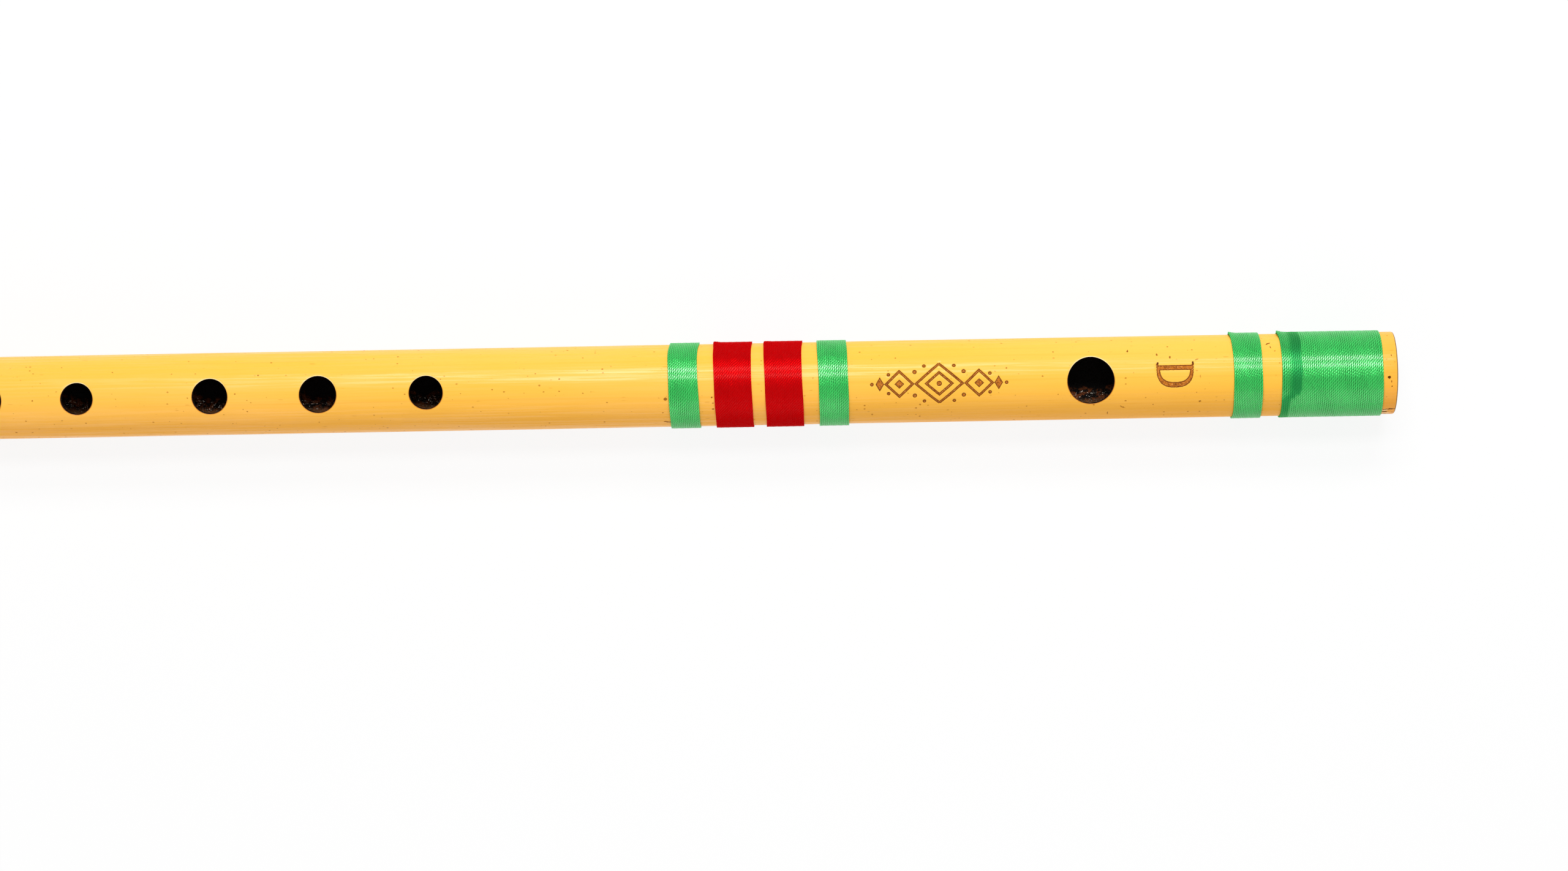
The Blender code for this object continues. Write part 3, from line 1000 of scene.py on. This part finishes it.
def skin_material(colours, blow_hole):
    """Lacquered golden bamboo: long fibres, brown flecks, spots, burnt marks and scorched hole edges, with
    painted shade on its -Y side and painted highlights on the holes' +Y edges and on the head's chip.
    """
    material, tree, shader = new_material("bamboo skin")
    place = object_place(tree)
    parts = separated(tree, place)
    fibre = use_group(tree, "fibre", along=9.0, across=1500.0)
    cloud = streaks(tree, 14.0, 60.0, 3.0)
    pale, tan = rgba(colours.skin, (1.03, 1.03, 1.3)), rgba(colours.skin, (0.93, 0.85, 0.8))
    colour = mix_colours(tree, smooth(tree, cloud, 0.35, 0.65), rgba(colours.skin), pale)
    colour = mix_colours(tree, smooth(tree, fibre["Shade"], 0.52, 0.72, 0, 0.5), colour, tan)
    colour, spot_and_highlight_mask = spots_and_painted_light(tree, colour, blow_hole)

    scorch = use_group(tree, "scorch", char=0.07, tan=0.34)
    tanned = product(tree, scorch["Tan"], smooth(tree, parts["Y"], 2.5 * MM, -1.5 * MM, 0.0, 0.8))
    # Painted highlight: a pale ring on the +Y side of each hole's edge, where its rounding catches the light
    painted_edge_highlight = product(tree, scorch["Tan"], smooth(tree, parts["Y"], 1 * MM, 4 * MM, 0.0, 0.8))
    for share, tone in ((tanned, colours.burn), (painted_edge_highlight, HOLE_EDGE_HIGHLIGHT), (scorch["Char"], colours.char)):
        colour = mix_colours(tree, share, colour, rgba(tone))

    mottle = noise(tree, place, 2600.0, 3.0, 0.6)
    mark = total(tree, attribute(tree, "from_mark"), centred(tree, mottle, 0.16))
    colour = mix_colours(tree, smooth(tree, mark, 0.06, -0.02), colour, burnt(tree, colours, mark, mottle))

    normal = bump(tree, fibre["Height"], 0.02 * MM)
    normal = bump(tree, product(tree, mottle, smooth(tree, mark, 0.05, -0.1)), 0.12 * MM, normal)
    lacquer = product(
        tree,
        smooth(tree, streaks(tree, 45.0, 2300.0, 3.0), 0.42, 0.62, 0.25, 1.0),
        smooth(tree, mark, 0.06, -0.04, 1.0, 0.0),
        smooth(tree, scorch["Char"], 0.0, 1.0, 1.0, 0.0),
        smooth(tree, spot_and_highlight_mask, 0.0, 1.0, 1.0, 0.2),
        smooth(tree, parts["X"], 40 * MM, 150 * MM, 1.0, 0.5),
    )
    fill(tree, shader, {
        "Base Color": colour,
        "Roughness": smooth(tree, mark, 0.06, -0.04, 0.42, 0.8),
        "Normal": normal,
        "Coat Weight": lacquer,
        "IOR": 1.05,
        "Coat IOR": 1.39,
        "Coat Roughness": 0.26,
    })
    return material


def rim_material(colours):
    """The cut ends: pale pith full of dark fibre bundles, closer together towards the skin."""
    material, tree, shader = new_material("bamboo end grain")
    away = vector_node(tree, "SUBTRACT", object_place(tree), (0.0, 0.0, AXIS))
    away = vector_node(tree, "MULTIPLY", away, (0.0, 1.0, 1.0))
    radius = add(tree, "VectorMath", {0: away}, operation="LENGTH").outputs["Value"]
    outward = smooth(tree, radius, TUBE_RADIUS - 2.0 * MM, TUBE_RADIUS)
    fibre = use_group(tree, "fibre", along=900.0, across=900.0)
    colour = mix_colours(tree, fibre["Shade"], rgba(colours.pith), rgba(colours.pith, 0.7))
    for across, size, inner, outer in ((1900.0, 0.6, 0.75, 0.35), (3300.0, 0.75, 0.15, 0.9)):
        bundles = use_group(tree, "speck", along=10.0, across=across, amount=0.95, size=size)
        share = product(tree, bundles["Mask"], smooth(tree, outward, 0.0, 1.0, inner, outer))
        colour = mix_colours(tree, share, colour, rgba(BUNDLE_BROWN))
    edge = smooth(tree, radius, TUBE_RADIUS - 0.45 * MM, TUBE_RADIUS - 0.25 * MM, 0.0, 0.85)
    fill(tree, shader, {
        "Base Color": mix_colours(tree, edge, colour, rgba(RIND_BROWN)),
        "Normal": bump(tree, fibre["Height"], 0.05 * MM),
        "Roughness": 0.6,
        "IOR": 1.15,
    })
    return material


def bore_material(colours):
    """The oiled bore. Under each hole it is black with char, spread towards +Y as painted shadow, with brown
    beside it that glints with resin.
    """
    material, tree, shader = new_material("bamboo bore")
    place = object_place(tree)
    from_hole = attribute(tree, "from_hole")
    fibre = use_group(tree, "fibre", along=40.0, across=1300.0)
    colour = mix_colours(tree, fibre["Shade"], rgba(colours.bore), rgba(colours.bore, 1.8))
    tar = noise(tree, place, 620.0, 4.0, 0.65)
    away = total(tree, from_hole, centred(tree, noise(tree, place, 420.0, 3.0, 0.6), 3.5))
    black = rgba(colours.char, 0.2)
    brown = mix_colours(tree, smooth(tree, tar, 0.45, 0.62), black, rgba(colours.burn_edge, 1.8))
    colour = mix_colours(tree, smooth(tree, from_hole, 4.9, 2.8), colour, brown)
    # Black char, spread towards +Y over the bore's floor that lies in shade, so that it partly paints that
    # shadow
    colour = mix_colours(tree, smooth(tree, away, 1.1, 0.2), colour, black)
    glint = product(
        tree,
        smooth(tree, streaks(tree, 1500.0, 4300.0, 3.0, 0.7), 0.59, 0.61),
        smooth(tree, away, 1.2, 2.0),
        smooth(tree, from_hole, 4.6, 3.0),
    )
    fill(tree, shader, {
        "Base Color": mix_colours(tree, glint, colour, rgba(RESIN)),
        "Metallic": glint,
        "Roughness": smooth(tree, glint, 0.0, 1.0, 0.75, 0.22),
        "Normal": bump(tree, tar, 0.9 * MM, bump(tree, fibre["Height"], 0.1 * MM)),
        "IOR": 1.3,
    })
    return material


def char_material(colours):
    """The walls of the holes, burnt through with a hot rod."""
    material, tree, shader = new_material("bamboo char")
    crust = noise(tree, object_place(tree), 1800.0, 4.0, 0.65)
    colour = mix_colours(tree, smooth(tree, crust, 0.5, 0.75), rgba(colours.char), rgba(colours.char, 4))
    lip = smooth(tree, attribute(tree, "from_hole"), 0.02, 0.12, 0.0, 0.8)
    fill(tree, shader, {
        "Base Color": mix_colours(tree, lip, colour, rgba(LIP_BROWN)),
        "Normal": bump(tree, crust, 0.2 * MM),
        "Roughness": 0.6,
        "IOR": 1.08,
    })
    return material


def thread_material(thread, colours, sizes):
    """Shiny two-ply thread, with shade painted darker between its turns and its plies, where it also shines
    less. Wetted by glue it is darker.
    """
    look, colour, gloss = LOOKS[thread], getattr(colours, thread), getattr(colours, thread + "_gloss")
    material, tree, shader = new_material(thread + " thread")
    ply = use_group(tree, "ply", length=sizes.ply_length, filaments=0.04)
    wet = attribute(tree, "wet")
    fibre = use_group(tree, "fibre", along=300.0, across=300.0)
    uneven = streaks(tree, 2300.0, 700.0, 3.0, 0.6)
    uneven = smooth(tree, total(tree, uneven, product(tree, fibre["Shade"], 0.3)), 0.45, 0.85)
    base = mix_colours(tree, uneven, rgba(colour, 1 - look["change"]), rgba(colour, 1 + look["change"]))
    base = mix_colours(tree, product(tree, wet, 0.9), base, rgba(colour, SOAKED))
    # Painted shade between the turns and between the plies: there the colour falls to 0.3 of itself and turns
    # metallic, so that it reflects only that dark colour
    valley = product(tree, ply["Valley"], look["valley"])
    groove = product(tree, ply["Groove"], look["groove"])
    hidden = larger(tree, valley, groove)
    bare = smooth(tree, larger(tree, ply["Valley"], ply["Groove"]), 0.6, 0.0, 0.0, look["shine"])
    height = product(tree, ply["Height"], smooth(tree, wet, 0.0, 1.0, 1.0, 0.6))
    lustre = smooth(tree, wet, 0.0, 1.0, look["lustre"], 0.65)
    fill(tree, shader, {
        "Base Color": mix_colours(tree, hidden, base, rgba(colour, 0.3)),
        "Roughness": smooth(tree, wet, 0.0, 1.0, 0.18, 0.42),
        "Metallic": larger(tree, lustre, smooth(tree, hidden, 0.0, 0.6)),
        "Coat Weight": product(tree, bare, smooth(tree, wet, 0.0, 1.0, 1.0, 0.15)),
        "Normal": bump(tree, height, look["relief"]),
        "IOR": look["bend"],
        "Specular IOR Level": 1.0,
        "Specular Tint": rgba(gloss),
        "Coat IOR": 2.4,
        "Coat Roughness": 0.18,
        "Sheen Weight": 0.4,
        "Sheen Roughness": 0.5,
        "Sheen Tint": rgba(colour, 1.2 / max(colour)),
    })
    return material


def cork_material(colours):
    """Raw cork: grains of several browns, with dark pits."""
    material, tree, shader = new_material("raw cork")
    grains = add(tree, "TexVoronoi", {"Vector": object_place(tree), "Scale": 1700.0}).outputs["Color"]
    shade = add(tree, "SeparateColor", {"Color": grains}).outputs["Red"]
    fibre = use_group(tree, "fibre", along=400.0, across=400.0)
    pits = use_group(tree, "speck", along=420.0, across=420.0, amount=0.5, size=0.45)["Mask"]
    colour = mix_colours(tree, shade, rgba(colours.cork, 0.8), rgba(colours.cork, 1.2))
    fill(tree, shader, {
        "Base Color": mix_colours(tree, product(tree, pits, 0.8), colour, rgba(PIT_BROWN)),
        "Normal": bump(tree, math_node(tree, "SUBTRACT", fibre["Height"], pits), 0.15 * MM),
        "Roughness": 0.85,
    })
    return material


def seen_directly(tree):
    """1 for rays from the camera and for mirrored and refracted ones, else 0."""
    rays = add(tree, "LightPath").outputs
    mirrored = larger(tree, rays["Is Glossy Ray"], rays["Is Transmission Ray"])
    return larger(tree, rays["Is Camera Ray"], mirrored)


def floor_material():
    """White paper that also glows where it is seen, so that only the shadow is grey."""
    material, tree, shader = new_material("white floor")
    fill(tree, shader, {"Base Color": rgba((0.92, 0.92, 0.92)), "Roughness": 1.0, "Specular IOR Level": 0.0})
    glow = add(tree, "Emission", {"Color": rgba((1, 1, 1)), "Strength": 1.0}).outputs[0]
    share = product(tree, seen_directly(tree), FLOOR_GLOW)
    mixed = add(tree, "MixShader", {0: share, 1: shader.outputs[0], 2: glow}).outputs[0]
    fill(tree, tree.nodes["Material Output"], {"Surface": mixed})
    return material


def build_floor(size):
    """A flat grid at z = 0."""
    line = np.linspace(-size / 2, size / 2, 9)
    x, y = np.meshgrid(line, line, indexing="ij")
    points = np.stack([x, y, 0 * x], axis=-1).reshape(-1, 3)
    return make_piece("floor", points, [quads(numbered(x.shape))], [floor_material()])


def put(name, data, place, right, up, back):
    """An object for a lamp or a camera, at `place`, with its own axes along right, up and back."""
    made = bpy.data.objects.new(name, data)
    made.matrix_world = Matrix.Translation(place) @ Matrix((right, up, back)).transposed().to_4x4()
    bpy.context.scene.collection.objects.link(made)
    return made


def add_lamp(name, away, target, size, power):
    """A rectangular lamp, `away` from its target and facing it, its long side along X."""
    light = bpy.data.lights.new(name, "AREA")
    light.shape = "RECTANGLE"
    light.size, light.size_y = size
    light.energy = power
    back = away.normalized()
    up = back.cross(Vector((1, 0, 0))).normalized()
    put(name, light, target + away, up.cross(back), up, back)


def set_world(strength):
    """White all round: `strength` as light, and plain white where it is seen."""
    world = bpy.data.worlds.new("white surround")
    bpy.context.scene.world = world
    world.use_nodes = True
    tree = world.node_tree
    shown = smooth(tree, seen_directly(tree), 0.0, 1.0, strength, 1.0)
    fill(tree, tree.nodes["Background"], {"Color": rgba((1, 1, 1)), "Strength": shown})


def add_camera(stage):
    """Looks down at the head half of the flute from a little towards +Y, rolled so that the head rises."""
    target = Vector((stage.camera_x, CAMERA_Y, AXIS))
    back = Vector((0, math.sin(CAMERA_TILT), math.cos(CAMERA_TILT)))
    up = Vector((math.sin(CAMERA_ROLL), math.cos(CAMERA_ROLL), 0))
    right = up.cross(back).normalized()
    data = bpy.data.cameras.new("camera")
    data.lens = stage.lens
    data.sensor_width = 36.0
    place = target + back * stage.camera_distance / math.cos(CAMERA_TILT)
    bpy.context.scene.camera = put("camera", data, place, right, back.cross(right), back)


class BANSURI_OT_tube(bpy.types.Operator):
    """Build the bored bamboo tube"""

    bl_idname = "bansuri.tube"
    bl_label = "Bamboo tube"

    def execute(self, context):
        sizes, colours = context.scene.bansuri_sizes, context.scene.bansuri_colours
        skin = skin_material(colours, holes(sizes)[0][0])
        inside = [finish(colours) for finish in (rim_material, bore_material, char_material)]
        tube = build_tube(sizes, [skin, *inside])
        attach(tube, "flute")
        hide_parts("bamboo_tube")
        return {"FINISHED"}


class BANSURI_OT_windings(bpy.types.Operator):
    """Wind the eight thread bindings"""

    bl_idname = "bansuri.windings"
    bl_label = "Thread bindings"

    def execute(self, context):
        sizes, colours = context.scene.bansuri_sizes, context.scene.bansuri_colours
        threads = {thread: thread_material(thread, colours, sizes) for thread in LOOKS}
        for number, plan in enumerate(WINDINGS):
            node, colour = plan[:2]
            winding = build_winding(plan, number, sizes, threads[colour])
            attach(winding, "flute")
            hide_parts(node)
        return {"FINISHED"}


class BANSURI_OT_cork(bpy.types.Operator):
    """Build the cork that closes the bore"""

    bl_idname = "bansuri.cork"
    bl_label = "Cork"

    def execute(self, context):
        cork = build_cork(context.scene.bansuri_sizes, cork_material(context.scene.bansuri_colours))
        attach(cork, "stopper")
        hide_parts("cork_stopper")
        return {"FINISHED"}


class BANSURI_OT_stage(bpy.types.Operator):
    """Set up the white floor, the lamps, the surroundings and the camera"""

    bl_idname = "bansuri.stage"
    bl_label = "Stage"

    def execute(self, context):
        stage = context.scene.bansuri_stage
        build_floor(stage.floor_size)
        set_world(stage.surround)
        middle = Vector((stage.camera_x, 0, AXIS))
        for name, away, size, power in LAMPS:
            add_lamp(name, Vector(away), middle, size, getattr(stage, power))
        add_camera(stage)
        context.scene.view_settings.view_transform = "Standard"
        return {"FINISHED"}


OPERATORS = (BANSURI_OT_tube, BANSURI_OT_windings, BANSURI_OT_cork, BANSURI_OT_stage)


class BANSURI_PT_panel(bpy.types.Panel):
    """Sizes, colours and steps of the bansuri"""

    bl_label = "Bansuri"
    bl_idname = "BANSURI_PT_panel"
    bl_space_type = "VIEW_3D"
    bl_region_type = "UI"
    bl_category = "Bansuri"

    def draw(self, context):
        for operator in OPERATORS:
            self.layout.operator(operator.bl_idname)
        for name in GROUPS:
            group, box = getattr(context.scene, name), self.layout.box()
            for key in group.__annotations__:
                box.prop(group, key)


GROUPS = {
    "bansuri_sizes": BansuriSizes,
    "bansuri_colours": BansuriColours,
    "bansuri_stage": BansuriStage,
}


def register():
    """Adds the classes to Blender, and the properties to its scenes."""
    for item in (*GROUPS.values(), *OPERATORS, BANSURI_PT_panel):
        bpy.utils.register_class(item)
    for key, group in GROUPS.items():
        setattr(bpy.types.Scene, key, PointerProperty(type=group))


def unregister():
    """Takes the properties and the classes away again."""
    for key in GROUPS:
        delattr(bpy.types.Scene, key)
    for item in reversed((*GROUPS.values(), *OPERATORS, BANSURI_PT_panel)):
        bpy.utils.unregister_class(item)


def main():
    """Builds the flute and its stage."""
    register()
    for build_group in (fibre_group, speck_group, ply_group, spot_and_highlight_group, scorch_group):
        build_group()
    bpy.ops.bansuri.tube()
    bpy.ops.bansuri.windings()
    bpy.ops.bansuri.cork()
    bpy.ops.bansuri.stage()


if __name__ == "__main__":
    main()
